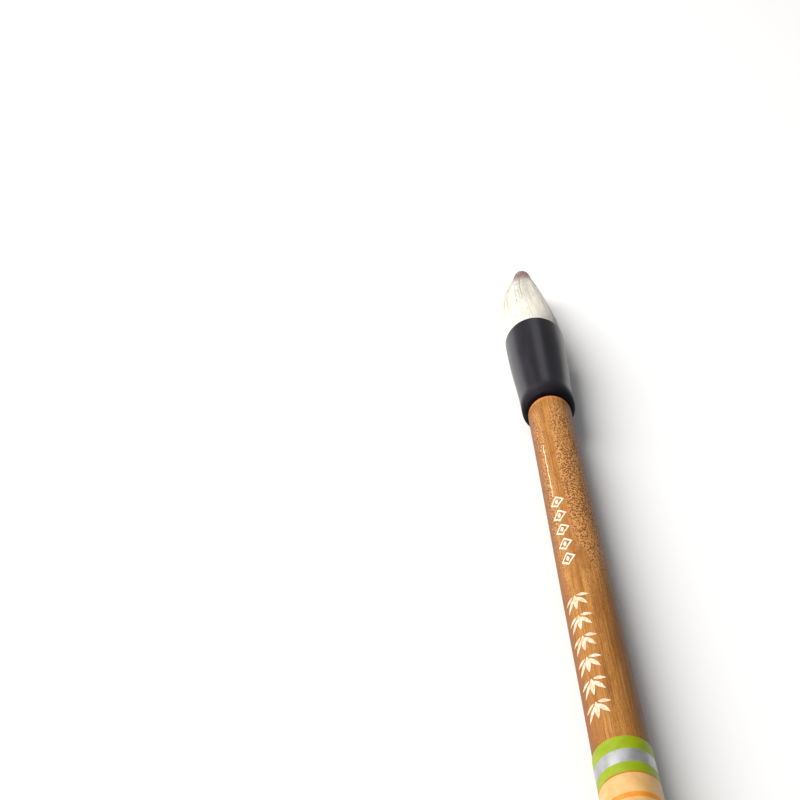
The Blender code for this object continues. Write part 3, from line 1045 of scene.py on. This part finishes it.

# two spans on the axis, either side of the overlap where the two lengths meet
BEND_A = (world(0, 29.3, 0), world(0, SPLIT - 1.3, 0))
BEND_B = (world(0, SPLIT + 1.3, 0), world(0, 52.0, 0))
for piece in (lower, core_lower, strands_lower, upper, core_upper, strands_upper, point_strands):
    at_rest = np.empty(len(piece.data.vertices) * 3, np.float32)
    piece.data.vertices.foreach_get("co", at_rest)
    piece.data.attributes.new("rest_place", "FLOAT_VECTOR", "POINT").data.foreach_set("vector", at_rest)
for piece in (lower, core_lower, strands_lower):
    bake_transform(piece)
for piece in (upper, core_upper, strands_upper, point_strands):
    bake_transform(piece)
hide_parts("cover_hair_root", "cover_hair_middle")
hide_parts("cover_hair_tip")
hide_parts("core_hair_root", "core_hair_middle")
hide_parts("core_hair_tip")

# ------------------------------------------------------------------ CAD pieces that stay inside
inside = {
    "joining_dowel": plain_inside("dowel_wood", (196, 160, 108), (160, 122, 76), 0.65),
    "root_resin": plain_inside("root_resin", (150, 96, 40), (110, 62, 20), 0.25, 2.0),
    "binding_thread": plain_inside("hemp_thread", (206, 186, 148), (164, 140, 100), 0.85, 6.0),
}
for node, finish in inside.items():
    slots = frame["nodes"][node].material_slots
    if not slots:
        frame["nodes"][node].data.materials.append(finish)
    for slot in frame["nodes"][node].material_slots:
        slot.material = finish

# ------------------------------------------------------------------ floor, light, camera
floor_material = Graph("studio_floor")
floor_material.set(Base_Color=(0.83, 0.83, 0.83, 1.0), Roughness=0.85, Specular_IOR_Level=0.1)
floor = mesh_piece(
    "studio_floor",
    [(-3, -3, 0), (3, -3, 0), (3, 3, 0), (-3, 3, 0)],
    [(0, 1, 2, 3)],
    [floor_material.material],
)

studio = bpy.data.worlds.new("studio")
bpy.context.scene.world = studio
studio.use_nodes = True
studio.node_tree.nodes["Background"].inputs["Color"].default_value = (1.0, 1.0, 1.0, 1.0)
studio.node_tree.nodes["Background"].inputs["Strength"].default_value = 0.23


def softbox(name, location, target, size, power, colour=(1.0, 1.0, 1.0)):
    light = bpy.data.lights.new(name, "AREA")
    light.shape = "RECTANGLE"
    light.size, light.size_y = size
    light.energy = power
    light.color = colour
    made = bpy.data.objects.new(name, light)
    bpy.context.scene.collection.objects.link(made)
    made.location = location
    made.rotation_euler = (Vector(target) - Vector(location)).to_track_quat("-Z", "Y").to_euler()
    return made


middle = (0.0, 0.03, 0.006)
softbox("key", (-0.84, 0.33, 0.95), middle, (0.75, 1.15), 28.6, (1.0, 0.988, 0.97))
softbox("back", (0.0, 1.15, 0.86), middle, (0.42, 0.5), 0.75)

camera_data = bpy.data.cameras.new("camera")
camera_data.lens = 63.0
camera_data.sensor_width = 36.0
camera_data.clip_start = 0.01
camera_data.clip_end = 20.0
camera = bpy.data.objects.new("camera", camera_data)
bpy.context.scene.collection.objects.link(camera)
right = Vector((0.99974, -0.02300, 0.0)).normalized()
down = Vector((-0.01210, -0.52613, -0.85033)).normalized()
ahead = right.cross(down).normalized()
down = ahead.cross(right)
turn = Matrix((right, -down, -ahead)).transposed().to_4x4()
camera.matrix_world = Matrix.Translation(
    Vector((0.0, metres(0.0), AXIS_Z * MM)) + Vector((-0.03493, -0.23346, 0.14794))
) @ turn
bpy.context.scene.camera = camera
bpy.context.scene.view_settings.view_transform = "Standard"
